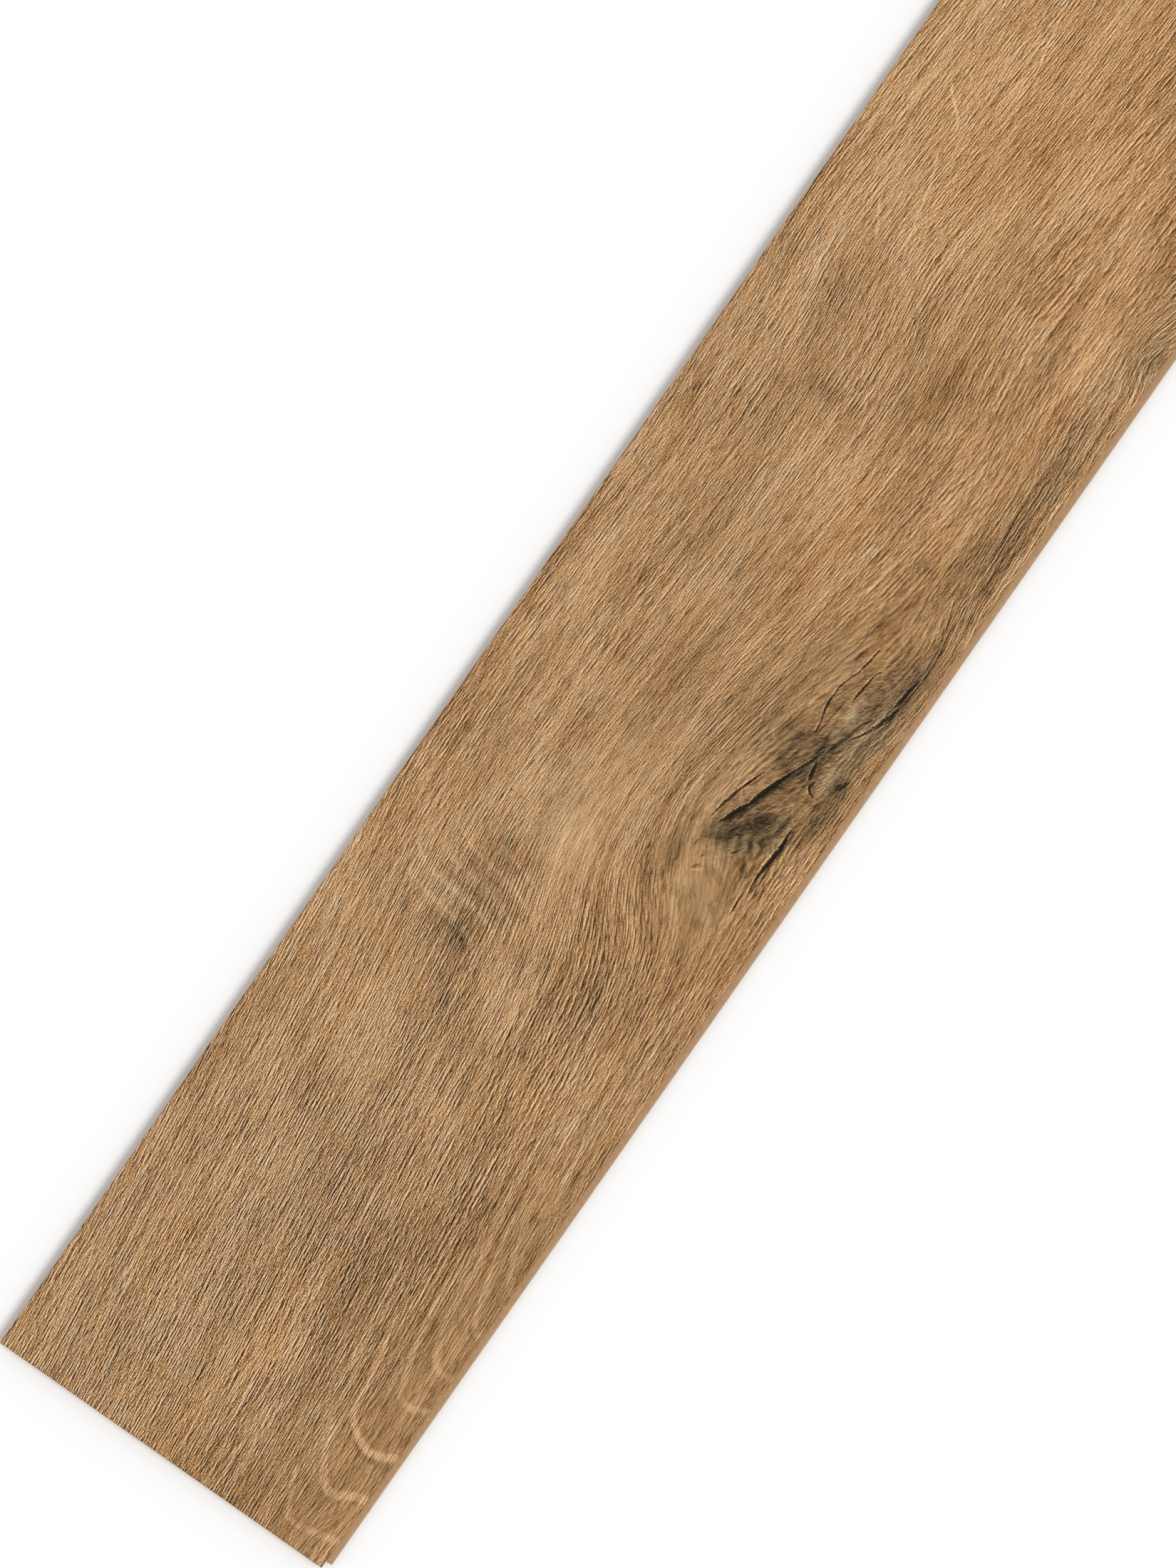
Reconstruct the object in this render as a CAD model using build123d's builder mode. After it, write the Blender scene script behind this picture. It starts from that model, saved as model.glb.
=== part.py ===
from build123d import *
import os

# Laminate floor plank, lying flat with its decor face up.
# X runs along the plank, Y across it, Z up from the underside at zero.
# The origin is under the centre of the decor face.
# All sizes are in millimetres.

# Board
face_length = 1285.0
face_width = 192.0
thickness = 8.0
arris = 0.2

# Tongue, measured outwards from the joint face
tongue_reach = 3.4
tongue_thickness = 2.1
nose_radius = 0.9
heel_depth = 0.6
heel_length = 1.5
heel_radius = 0.35
under_relief = 0.3

# Groove that takes the tongue of the next board
lower_lip = 2.3
joint_clearance = 0.1
end_clearance = 0.4
slot_radius = 0.5
lip_radius = 0.25
mouth_bevel = 0.3

# Heights of the joint, worked up from the underside
valley_height = lower_lip
nib_height = valley_height + heel_depth
heel_height = valley_height + joint_clearance
tongue_bottom = heel_height + heel_depth
tongue_top = tongue_bottom + tongue_thickness
slot_top = tongue_top + joint_clearance

# Places along the joint, outwards on the tongue and inwards in the groove.
# The heel's flank stands at 45 degrees and meets the same flank on the lower lip's nib.
heel_inner = tongue_reach - heel_length
flank_top = heel_inner - heel_depth
slot_depth = tongue_reach + end_clearance
valley_start = heel_inner - joint_clearance
nib_end = valley_start - heel_depth


def tongue_section(joint_face):
    """The tongue beyond the joint face, with the locking heel under its nose."""
    nose = joint_face + tongue_reach
    outline = [
        (joint_face, tongue_top),
        (nose, tongue_top),
        (nose, heel_height),
        (joint_face + heel_inner, heel_height),
        (joint_face + flank_top, tongue_bottom),
        (joint_face, tongue_bottom),
    ]
    corners = [0, nose_radius, heel_radius, heel_radius, 0, 0]
    with BuildSketch() as tongue:
        with BuildLine():
            FilletPolyline(outline, radius=corners, close=True)
        make_face()
    return tongue.sketch


def relief_section(joint_face):
    """The strip milled off below the tongue, so that boards meet at their top edges only."""
    with BuildSketch() as relief:
        with Locations((joint_face, 0)):
            Rectangle(under_relief, tongue_bottom, align=(Align.MAX, Align.MIN))
    return relief.sketch


def slot_section(joint_face):
    """The slot cut in from the joint face, with the nib at its mouth and the valley for the heel."""
    slot_end = joint_face + slot_depth
    outline = [
        (joint_face, slot_top + mouth_bevel),
        (joint_face + mouth_bevel, slot_top),
        (slot_end, slot_top),
        (slot_end, valley_height),
        (joint_face + valley_start, valley_height),
        (joint_face + nib_end, nib_height),
        (joint_face + mouth_bevel, nib_height),
        (joint_face, nib_height - mouth_bevel),
    ]
    corners = [0, 0, slot_radius, slot_radius, lip_radius, lip_radius, 0, 0]
    with BuildSketch() as slot:
        with BuildLine():
            FilletPolyline(outline, radius=corners, close=True)
        make_face()
    return slot.sketch


# Plank: the grooves are milled straight through along the +Y edge and the -X end.
# The tongues stand out on the -Y edge and the +X end, and each stops short of the groove
# that crosses its far end.
with BuildPart() as plank:
    Box(face_length, face_width, thickness, align=(Align.CENTER, Align.CENTER, Align.MIN))
    chamfer(plank.faces().sort_by(Axis.Z)[-1].edges(), arris)

    with BuildSketch(Plane.left):
        add(slot_section(-face_width / 2))
        add(relief_section(face_width / 2))
    extrude(amount=face_length / 2, both=True, mode=Mode.SUBTRACT)

    with BuildSketch(Plane.front):
        add(slot_section(-face_length / 2))
        add(relief_section(face_length / 2))
    extrude(amount=face_width / 2, both=True, mode=Mode.SUBTRACT)

    with BuildSketch(Plane.left.offset(-face_length / 2)):
        add(tongue_section(face_width / 2))
    extrude(amount=face_length - slot_depth)

    with BuildSketch(Plane.front.offset(slot_depth - face_width / 2)):
        add(tongue_section(face_length / 2))
    extrude(amount=face_width - slot_depth)

plank.part.label = "plank"

os.makedirs("parts", exist_ok=True)
export_step(plank.part, "parts/plank.step")
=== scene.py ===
import math

import bmesh
import bpy
import numpy as np
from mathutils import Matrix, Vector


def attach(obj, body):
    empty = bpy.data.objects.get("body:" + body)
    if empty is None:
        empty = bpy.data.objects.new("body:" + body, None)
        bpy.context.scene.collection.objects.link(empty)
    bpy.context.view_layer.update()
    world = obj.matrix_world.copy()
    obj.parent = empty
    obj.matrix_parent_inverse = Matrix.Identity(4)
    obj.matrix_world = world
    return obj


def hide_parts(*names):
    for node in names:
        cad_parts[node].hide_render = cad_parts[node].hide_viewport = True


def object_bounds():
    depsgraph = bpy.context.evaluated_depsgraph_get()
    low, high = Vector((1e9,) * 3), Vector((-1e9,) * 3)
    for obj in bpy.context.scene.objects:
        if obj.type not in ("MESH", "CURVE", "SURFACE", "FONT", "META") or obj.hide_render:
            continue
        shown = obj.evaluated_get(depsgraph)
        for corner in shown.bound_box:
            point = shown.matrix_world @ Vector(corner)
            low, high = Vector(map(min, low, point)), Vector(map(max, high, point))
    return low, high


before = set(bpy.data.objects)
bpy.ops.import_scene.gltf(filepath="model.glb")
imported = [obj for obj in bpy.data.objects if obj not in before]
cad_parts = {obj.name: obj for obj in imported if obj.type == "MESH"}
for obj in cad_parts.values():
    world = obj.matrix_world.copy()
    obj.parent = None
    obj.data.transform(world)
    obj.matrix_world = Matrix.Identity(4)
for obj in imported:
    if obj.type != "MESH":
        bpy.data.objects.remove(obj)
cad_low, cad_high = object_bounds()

# The frame is in metres. The decor is laid out in millimetres on the plank's face:
# s runs from the near end along the plank, t from the middle line towards the long groove.
MM = 0.001

# The photograph, in its own pixels: its size, two corners of the plank and the plank's slope
PHOTO_WIDTH, PHOTO_HEIGHT = 1650, 2200
CORNER_LEFT = (0.0, 1884.0)
CORNER_RIGHT = (451.0, 2200.0)
PLANK_SLOPE_DEGREES = 55.0

# The frame's points this near each other, in metres, are one point
SAME_PLACE = 1e-6
# Faces that turn by less than this where they meet are one face
FLAT_DEGREES = 0.5

# The board's material slots
DECOR, CORE, BACK = range(3)


def decor_rectangle(node):
    """The decor face's lowest and highest corners in x and y, and its height, from the frame."""
    points = np.array([vertex.co for vertex in node.data.vertices])
    height = points[:, 2].max()
    face = points[points[:, 2] > height - SAME_PLACE]
    return face.min(0)[:2], face.max(0)[:2], height


plank_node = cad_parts["plank"]
face_low, face_high, face_height = decor_rectangle(plank_node)
FACE_LENGTH = (face_high[0] - face_low[0]) / MM
FACE_WIDTH = (face_high[1] - face_low[1]) / MM


# Slope of the grain lines along the plank: (s, degrees)
GRAIN_SLOPES = [
    (0, 5), (60, 7), (220, 7), (300, 8), (325, 7), (350, 3), (385, 0), (430, -1), (480, -1), (560, 0),
    (630, 2), (655, 8), (682, 3), (710, -3), (868, -3), (960, 3), (1060, -4), (1180, 3), (1285, -2),
]

# Hills that lift the grain lines: (height, s of the rise's foot and top, s of the fall's top and foot,
# t of the crest, reach above the crest, reach below it)
GRAIN_HILLS = [
    (9, 300, 370, 385, 540, -2, 38, 60),
    (16, 325, 424, 432, 640, -36, 42, 34),
    (-5, 470, 525, 535, 575, -88, 14, 14),
    (5, 690, 716, 720, 748, -88, 12, 14),
    (6, -60, -30, 0, 42, -84, 14, 14),
    (-7, 1000, 1060, 1070, 1150, -40, 40, 40),
]

# Slow waves of the grain lines: (height, length along, length across, start in radians)
GRAIN_WAVES = [(0.4, 31, 23, 0), (0.12, 13.7, -11, 1.3), (0.6, -57, 9, 0)]

# Share of the slopes that the lines along the -Y edge keep, and where the change lies
EDGE_SLOPE_SHARE, EDGE_SLOPE_T = 0.55, (-96, -5)

# The slopes are summed up in these steps, from a little before the face to a little beyond it
SLOPE_STEP, SLOPE_MARGIN = 1.0, 10.0

# Patches of tone: (s, t, reach along, reach across, tilt in degrees, tone, greyness).
# Tone is in steps of 1/255 of display brightness.
PATCHES = [
    (418, -58, 26, 13, -30, -16, 0.2),
    (450, -66, 34, 20, -20, -12, 0.1),
    (505, -76, 30, 13, -15, -14, 0.1),
    (110, -86, 170, 26, 3, -11, 0.15),
    (25, -62, 30, 20, 0, -4, 0.0),
    (80, -40, 26, 14, 0, -7, 0.0),
    (156, -50, 26, 12, 0, -6, 0.0),
    (374, -56, 22, 14, 20, -6, 0.3),
    (565, -70, 40, 14, 0, -8, 0.1),
    (822, 80, 34, 18, 0, 12, 0.0),
    (395, 60, 34, 20, 0, 5, 0.0),
    (12, 2, 24, 18, 0, -5, -0.4),
    (78, -6, 34, 15, 4, 8, -0.4),
    (94, 58, 30, 12, 5, 3, -0.4),
    (60, 70, 60, 14, 5, -5, 0.1),
    (150, 0, 48, 20, 6, -9, 0.05),
    (125, -35, 34, 15, 4, -12, 0.1),
    (178, -48, 30, 9, 4, -11, 0.15),
    (205, 12, 60, 7, 7, -8, 0.05),
    (240, 50, 34, 16, 8, 9, -0.2),
    (268, 19, 14, 5, 18, -14, 0.4),
    (290, 29, 11, 11, 60, -20, 0.6),
    (290, 58, 7, 5, 30, -14, 0.3),
    (312, 34, 16, 22, 12, -6, 0.3),
    (340, 32, 8, 4, 8, -8, 0.4),
    (339, 16, 5, 5, 40, -10, 0.3),
    (313, 12, 7, 4, 8, -10, 0.3),
    (297, -5, 12, 5, 10, -12, 0.2),
    (305, -16, 7, 4, 5, -14, 0.3),
    (296, -42, 18, 12, 5, -13, 0.2),
    (366, 2, 28, 11, 14, 12, 0.0),
    (370, 24, 24, 16, 0, 8, 0.1),
    (372, -28, 14, 7, 22, -16, 0.1),
    (386, -36, 10, 5, 16, -16, 0.3),
    (407, -45, 7, 4, -20, -20, 0.9),
    (404, -53, 6, 5, -40, -19, 0.7),
    (419, -60, 15, 6, -48, -20, 0.7),
    (408, -63, 6, 5, -40, -16, 0.9),
    (418, -70, 10, 5, -10, -14, 1.0),
    (397, -70, 3, 3, 0, -16, 0.2),
    (396, -81, 14, 4, 8, -12, 0.0),
    (432, -57, 26, 5, -21, -16, 0.5),
    (432, -83, 24, 6, -14, -20, 0.6),
    (458, -85, 6, 3.5, -10, -30, 0.9),
    (462, -62, 18, 9, -18, -13, 0.5),
    (463, -54, 14, 4, -6, -12, 0.5),
    (466, -48, 12, 4, -10, -10, 0.5),
    (455, -71, 10, 5, 20, -15, 0.6),
    (460, -79, 9, 4, -15, 6, 1.0),
    (475, -70, 14, 5, -18, -17, 0.8),
    (484, -69.5, 11, 4, 0, 26, 1.0),
    (485, -84, 22, 7, -12, -4, 1.1),
    (505, -74, 8, 5, -30, -12, 0.5),
    (497, -78, 14, 5, -20, -10, 0.9),
    (510, -86, 18, 3, -5, -24, 0.7),
    (497, -61, 18, 4, -10, -8, 0.3),
    (525, -80, 14, 8, -10, -12, 0.5),
    (440, -36, 60, 8, 0, -6, 0.4),
    (502, -44, 26, 8, -6, -7, 0.3),
    (505, -54, 17, 5, -10, -13, 0.5),
    (386, -70, 10, 6, 0, -8, 0.2),
    (448, -18, 60, 12, 0, -7, 0.2),
    (470, 84, 18, 7, 0, 8, 0.0),
    (515, 40, 16, 5, 0, -8, 0.2),
    (612, 30, 7, 14, 0, -12, 0.0),
    (560, -12, 60, 14, 0, 4, -0.3),
    (622, -5, 22, 8, 0, -11, 0.0),
    (652, -24, 18, 12, 0, -10, 0.0),
    (655, 60, 60, 32, 0, 0, 0.1),
    (605, -72, 75, 5, 0, -8, 0.1),
    (625, -84, 95, 6, 2, -17, 0.4),
    (700, -64, 70, 6, 3, 8, -0.3),
    (716, -91, 14, 5, 0, -22, 0.7),
    (800, 10, 80, 50, 0, 7, -0.5),
    (750, 55, 75, 55, 0, 9, -0.3),
    (605, -80, 16, 7, 0, 6, 0.0),
    (520, -50, 14, 7, 0, 8, 0.0),
    (500, -62, 12, 6, 0, -7, 0.1),
    (420, -60, 14, 8, 0, 6, 0.0),
    (400, -60, 10, 8, 0, 7, 0.0),
    (260, -30, 22, 15, 0, -8, 0.0),
    (150, -20, 30, 14, 0, -4, 0.0),
    (60, -40, 24, 14, 0, -5, 0.0),
    (760, -50, 30, 14, 0, 5, 0.0),
    (550, -45, 20, 8, 0, 4, 0.0),
    (20, 60, 22, 16, 0, -5, -0.1),
    (292, 38, 14, 12, 0, -5, 0.0),
    (360, 20, 14, 10, 0, 5, 0.2),
    (960, 30, 70, 22, 0, -7, 0.2),
    (1010, -48, 80, 14, 0, -8, 0.3),
    (1120, 40, 80, 16, 0, 6, -0.2),
    (1190, -30, 60, 20, 0, -7, 0.2),
]


def ellipse_stroke(centre, radii, start, end, widths, count=9):
    """Points (s, t, half width) along an arc of an ellipse, its angles in degrees."""
    angles = np.radians(np.linspace(start, end, count))
    half_widths = np.interp(np.linspace(0, 1, count), np.linspace(0, 1, len(widths)), widths)
    return [
        (centre[0] + radii[0] * math.cos(angle), centre[1] + radii[1] * math.sin(angle), width)
        for angle, width in zip(angles, half_widths)
    ]


# Drawn marks: (kind, tone, depth in mm, points (s, t, half width))
CRACK, DARK_LINE, SMUDGE, PALE_LINE, RING = -94, -50, -29, 26, 24
STROKES = [
    ("soft", -34, 0.0, [
        (412, -47.4, 0.6), (420, -51.5, 1.6), (430, -55.6, 2.0), (438, -58.6, 1.9), (447, -62, 1.3),
        (456, -65, 0.7)]),
    ("soft", -24, 0.0, [
        (401, -45, 1.0), (405, -51, 1.8), (412, -56.5, 2.6), (420, -61.5, 2.6), (428, -67, 2.0)]),
    ("soft", -26, 0.0, [(388, -78.4, 0.4), (400, -78.4, 1.4), (414, -79.4, 1.6), (426, -79, 0.8)]),
    ("cut", CRACK, 0.16, [
        (410, -45.6, 0.2), (413, -47.3, 0.7), (418, -49.4, 1.1), (422, -51.2, 1.2), (426, -53.2, 0.6),
        (430, -54.2, 1.2), (437, -56.6, 1.35), (442, -58.4, 1.2), (448, -60.6, 0.7), (455, -63.4, 0.35),
        (461, -66.1, 0.45), (469, -68.4, 0.25)]),
    ("cut", CRACK, 0.12, [
        (411, -41.2, 0.2), (415, -41.7, 0.4), (420, -42.7, 0.7), (426, -44.2, 0.75), (430, -45.1, 0.45),
        (434, -46.8, 0.6), (439, -48.4, 0.35), (443, -50.2, 0.15)]),
    ("cut", CRACK, 0.12, [(376, -76.4, 0.15), (381, -75.8, 0.4), (385, -75.5, 0.45), (389, -75.9, 0.1)]),
    ("cut", CRACK, 0.16, [
        (389.5, -77.8, 0.1), (393, -77.1, 0.5), (400, -76.7, 0.8), (406, -77.1, 1.1), (414, -77.9, 1.15),
        (419, -78.0, 0.8), (423, -77.4, 0.7), (427, -77.3, 0.2)]),
    ("cut", CRACK, 0.16, [(446.3, -76.6, 0.3), (447.4, -74, 0.6), (449.5, -72.2, 0.7), (453, -73.0, 0.6)]),
    ("cut", CRACK, 0.16, [(452, -70.4, 0.4), (455, -69.7, 1.1), (458, -69.3, 0.9), (461.5, -68.2, 0.4)]),
    ("cut", CRACK, 0.14, [
        (472.5, -59.2, 0.25), (476, -59.1, 0.45), (480, -58.4, 0.25), (485, -56.9, 0.55), (490, -56.2, 0.55),
        (494, -56.3, 0.25), (498, -56.3, 0.5), (503, -57.6, 0.25), (509, -59.9, 0.4), (516, -61.2, 0.45),
        (524.5, -62.2, 0.25)]),
    ("cut", CRACK, 0.14, [
        (497, -65.7, 0.3), (502, -66.2, 0.55), (507, -66.7, 0.55), (512, -67.3, 0.35), (516, -69, 0.15)]),
    ("line", DARK_LINE, 0.08, [(518, -70, 0.2), (524, -71.3, 0.45), (531, -73.1, 0.4), (537, -74.1, 0.2)]),
    ("line", DARK_LINE, 0.08, [(471, -60.4, 0.15), (480, -61.2, 0.4), (488, -62.1, 0.5), (494, -62.7, 0.3)]),
    ("soft", SMUDGE, 0.05, [
        (460, -66.4, 0.5), (470, -66.4, 1.1), (478, -65.2, 0.6), (486, -64.4, 0.8), (493, -65.1, 0.4)]),
    ("line", DARK_LINE, 0.08, [
        (468, -69.6, 0.4), (475, -71.9, 0.9), (482, -74.2, 0.9), (488, -75.7, 0.5), (494, -78.7, 0.5)]),
    ("cut", CRACK * 0.8, 0.12, [
        (481, -76.2, 0.2), (487, -80.3, 0.6), (493, -82.4, 0.8), (500, -84.9, 0.8), (506, -86.4, 0.5)]),
    ("cut", CRACK * 0.8, 0.12, [(505, -83.8, 0.3), (511, -85.2, 0.9), (516, -85.5, 0.8), (524, -87, 0.25)]),
    ("line", DARK_LINE, 0.05, [
        (524, -88, 0.15), (532, -88.3, 0.35), (540, -87.6, 0.35), (548, -86, 0.3), (558, -84.6, 0.15)]),
    ("line", DARK_LINE, 0.08, [
        (440, -88.2, 0.1), (451, -88.1, 0.2), (454, -88.8, 0.45), (459, -88.1, 0.3), (466, -89.2, 0.15),
        (475, -91, 0.2), (480, -93.6, 0.2)]),
    ("soft", SMUDGE, 0.05, [(461, -45.4, 0.4), (467, -46, 0.9), (473, -47.5, 0.7), (481, -48.8, 0.3)]),
    ("soft", -24, 0.06, [(446, -52.8, 0.4), (455, -53.4, 0.9), (463, -53.9, 1.1), (471, -54.7, 0.6)]),
    ("line", SMUDGE, 0.05, [(453, -56, 0.3), (458, -57, 0.6), (462, -58, 0.3)]),
    ("line", DARK_LINE, 0.06, [
        (486, -44.1, 0.1), (493, -46.4, 0.3), (500, -48.2, 0.25), (509, -50.2, 0.25), (518, -52.4, 0.25),
        (530, -54.5, 0.2), (542, -55.8, 0.1)]),
    ("line", DARK_LINE, 0.06, [(513, -55.1, 0.2), (518, -56, 0.5), (522, -56.9, 0.2)]),
    ("line", DARK_LINE, 0.06, [(391, -41.8, 0.15), (397, -42.5, 0.45), (399, -42.2, 0.1)]),
    ("line", DARK_LINE, 0.08, [(384, -47.3, 0.3), (387.5, -49.6, 0.55)]),
    ("line", DARK_LINE, 0.08, [(390.5, -47.8, 0.3), (393, -48.9, 0.5)]),
    ("line", DARK_LINE, 0.08, [(400.8, -59.3, 0.2), (402.6, -60.8, 0.6), (404.5, -62.3, 0.2)]),
    ("line", SMUDGE, 0.05, [
        (393, -39.8, 0.1), (399, -36.2, 0.25), (405, -33.8, 0.25), (411, -31.7, 0.25), (418, -30.6, 0.1)]),
    ("line", SMUDGE, 0.05, [
        (372, -38.4, 0.1), (383, -34.6, 0.3), (392, -31.6, 0.3), (402, -29.4, 0.2), (414, -28, 0.1)]),
    ("line", SMUDGE, 0.05, [(384, -84.8, 0.1), (392, -83.6, 0.5), (399, -81.2, 0.5), (403, -81, 0.2)]),
    ("line", SMUDGE, 0.05, [(455, -84, 0.3), (459, -85.5, 1.2), (463, -87.5, 0.4)]),
    ("line", DARK_LINE, 0.06, [
        (585, -82.4, 0.1), (600, -81.6, 0.5), (617, -79.6, 0.6), (632, -79.2, 0.4), (648, -80.2, 0.1)]),
    ("soft", SMUDGE, 0.04, [
        (560, -84, 0.2), (580, -87, 0.6), (610, -90.5, 0.9), (650, -91, 0.9), (700, -89.5, 0.4)]),
    ("cut", CRACK, 0.12, [(662, -75.6, 0.2), (664.4, -75.8, 0.9), (667, -76.3, 0.2)]),
    ("line", DARK_LINE, 0.06, [(575, -6.2, 0.1), (590, -7.4, 0.35), (605, -7.2, 0.35), (614, -6.4, 0.1)]),
    ("line", DARK_LINE, 0.06, [(793, -16.2, 0.4), (795.5, -16.3, 0.4)]),
    ("line", DARK_LINE, 0.06, [(742, -84.6, 0.7), (743.5, -84.9, 0.6)]),
    ("line", PALE_LINE * 2.4, 0.0, [(567, -23.4, 0.35), (568.6, -23.4, 0.35)]),
    ("line", DARK_LINE, 0.06, [(365, 46.9, 0.3), (365, 44.8, 0.45)]),
    ("line", DARK_LINE, 0.06, [(365, 41.2, 0.35), (365, 39.6, 0.4)]),
    ("line", DARK_LINE, 0.06, [(365, 37.7, 0.3), (365, 36.0, 0.35)]),
    ("line", SMUDGE, 0.06, [(365.1, 34.4, 0.2), (365.1, 33.6, 0.2)]),
    ("line", PALE_LINE, 0.0, [
        (412.6, -51.8, 0.2), (411.2, -56.5, 0.25), (413, -58.9, 0.25), (420, -63.8, 0.25),
        (427, -65.8, 0.2)]),
    ("line", PALE_LINE, 0.0, [
        (413, -51.9, 0.2), (418.6, -55, 0.25), (419.8, -61, 0.25), (421.6, -68.5, 0.15)]),
    ("line", PALE_LINE, 0.0, [(424, -55.5, 0.2), (427, -61.5, 0.3), (432, -66.8, 0.3), (438, -71, 0.2)]),
    ("line", PALE_LINE, 0.0, [(426.5, -68.6, 0.2), (433.5, -68.7, 0.25)]),
    ("line", PALE_LINE, 0.0, [(429.5, -77.8, 0.2), (432, -74.2, 0.35), (438, -71.2, 0.25)]),
    ("line", PALE_LINE, 0.0, [(383.5, -48.8, 0.4), (385.5, -51, 0.7), (388, -53.4, 0.2)]),
    ("line", PALE_LINE, 0.0, [(459, -44.6, 0.5), (462, -42.5, 0.25)]),
    ("line", PALE_LINE, 0.0, ellipse_stroke((429, -52), (5.5, 5.5), 175, 35, [0.15, 0.35, 0.15])),
    ("line", PALE_LINE, 0.0, ellipse_stroke((434, -52), (9.0, 7.0), 160, 40, [0.15, 0.35, 0.15])),
    ("line", PALE_LINE * 0.6, 0.0, ellipse_stroke((504, -74), (9.0, 6.5), 110, -60, [0.3, 0.6, 0.3])),
    ("line", SMUDGE * 0.7, 0.0, ellipse_stroke((504, -74.5), (5.0, 3.4), 150, -150, [0.3, 0.5, 0.3])),
    ("line", PALE_LINE * 0.6, 0.0, ellipse_stroke((505, -75), (12.0, 9.0), 80, -40, [0.2, 0.5, 0.2])),
    # Pale rings whose noses point to the near end
    ("soft", RING, 0.0, [
        (15, -96, 2.0), (13, -88, 1.9), (11, -80, 1.8), (10, -74, 1.6), (11, -68, 1.4), (18, -64.5, 1.3),
        (27, -60.5, 1.2), (34, -57, 0.5)]),
    ("soft", RING * 1.2, 0.0, [
        (39.5, -96, 2.0), (37, -88, 2.1), (33.5, -82, 2.2), (32, -78, 2.1), (35, -72.5, 1.9), (42, -68, 1.7),
        (50, -63.5, 1.4), (60, -60, 0.5)]),
    ("soft", RING * 1.4, 0.0, [
        (65, -96, 1.9), (60.5, -88, 2.0), (59.5, -82, 2.1), (61.5, -76, 2.0), (65, -70, 1.8),
        (70, -65.6, 1.6), (77, -63.6, 1.4), (90, -62.4, 1.3), (106, -59, 1.2), (122, -55.5, 0.4)]),
    ("soft", RING, 0.0, [
        (92.5, -96, 1.7), (89, -88, 1.8), (88.5, -82.5, 1.7), (92, -78.6, 1.5), (99, -76, 1.4),
        (114, -71.6, 1.3), (132, -68.6, 1.2), (152, -64.8, 0.5)]),
    ("soft", RING * 0.8, 0.0, [
        (112, -96, 1.5), (111, -90, 1.6), (113, -84.6, 1.6), (120, -80.8, 1.4), (134, -77, 1.3),
        (156, -74, 0.5)]),
    ("soft", RING * 0.9, 0.0, [
        (136, -96, 1.7), (137.5, -91, 1.8), (143, -87.4, 1.6), (155, -83.4, 1.4), (175, -78.5, 1.3),
        (196, -74.5, 0.5)]),
    ("soft", RING * 0.8, 0.0, [
        (162, -96, 1.6), (168, -90.6, 1.7), (178, -85.6, 1.5), (196, -81, 1.3), (216, -77, 0.5)]),
    ("soft", RING * 0.6, 0.0, [(192, -96, 1.5), (202, -91, 1.5), (220, -86, 1.3), (245, -82, 0.5)]),
    ("soft", -13, 0.0, [(58, -96, 1.3), (56, -88, 1.4), (56, -81, 1.3), (60, -73, 1.2), (66, -66.5, 0.6)]),
    ("soft", -14, 0.0, [
        (66, -58.4, 0.4), (78, -58.6, 1.2), (92, -58, 1.2), (110, -54.2, 1.2), (124, -52, 0.4)]),
    ("soft", -16, 0.0, [
        (104, -72.4, 0.4), (116, -69.2, 1.2), (130, -66.2, 1.3), (146, -63.6, 1.3), (162, -61.4, 1.2),
        (180, -60, 1.2), (205, -58.2, 0.5)]),
    ("soft", -15, 0.0, [
        (134, -91, 0.5), (139, -87.6, 1.2), (150, -83.2, 1.3), (164, -78.8, 1.4), (178, -75.4, 1.4),
        (196, -71.6, 1.3), (220, -69.6, 0.5)]),
    ("soft", -10, 0.0, [(196, -79.5, 0.5), (210, -76, 1.3), (230, -72.6, 0.6)]),
    # Pale arcs across the grain round the soft eye, each with a darker one beside it
    ("soft", 17, 0.0, [
        (305, 66, 0.3), (301, 56, 0.8), (299.5, 46, 1.1), (298.5, 36, 1.1), (296.5, 27, 1.0), (292, 19, 0.6),
        (284, 10, 0.3)]),
    ("soft", 20, 0.0, [
        (318, 70, 0.3), (312, 60, 0.9), (309.5, 50, 1.4), (308.5, 38, 1.7), (307, 27, 1.5), (304, 17, 1.1),
        (298, 8, 0.7), (290, 1, 0.3)]),
    ("soft", 15, 0.0, [
        (326, 62, 0.3), (321.5, 52, 0.8), (319.5, 42, 1.0), (318.6, 31, 1.0), (316.5, 20, 0.9),
        (311, 8, 0.6), (304, 0, 0.3)]),
    ("soft", 16, 0.0, [
        (336, 56, 0.3), (331, 46, 0.8), (329, 36, 1.1), (328, 26, 1.1), (325.5, 15, 0.9), (320, 4, 0.5),
        (314, -3, 0.2)]),
    ("soft", 15, 0.0, [(345, 46, 0.3), (340, 36, 0.8), (337.5, 26, 0.9), (335, 15, 0.8), (330, 4, 0.4)]),
    ("soft", -16, 0.0, [
        (297, 60, 0.3), (294.5, 46, 0.6), (293.5, 34, 0.8), (291.5, 25, 1.0), (287, 16, 0.5)]),
    ("soft", -13, 0.0, [(316, 56, 0.4), (314, 46, 1.3), (313.5, 36, 1.4), (312, 25, 1.2), (308, 13, 0.6)]),
    ("soft", -11, 0.0, [(326, 48, 0.4), (324, 38, 1.2), (323, 27, 1.3), (321, 17, 1.1), (316, 7, 0.5)]),
    # Pale ray flecks towards the far end
    ("line", PALE_LINE * 1.4, 0.0, [
        (685, 53.6, 0.2), (692, 56.4, 0.55), (700, 61.6, 0.55), (708, 66.6, 0.3)]),
    ("line", PALE_LINE * 1.5, 0.0, [
        (685, 38, 0.2), (696, 41.2, 0.55), (706, 44, 0.5), (720, 47, 0.55), (731, 50, 0.5), (740, 54, 0.2)]),
    ("line", PALE_LINE * 1.7, 0.0, [
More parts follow.
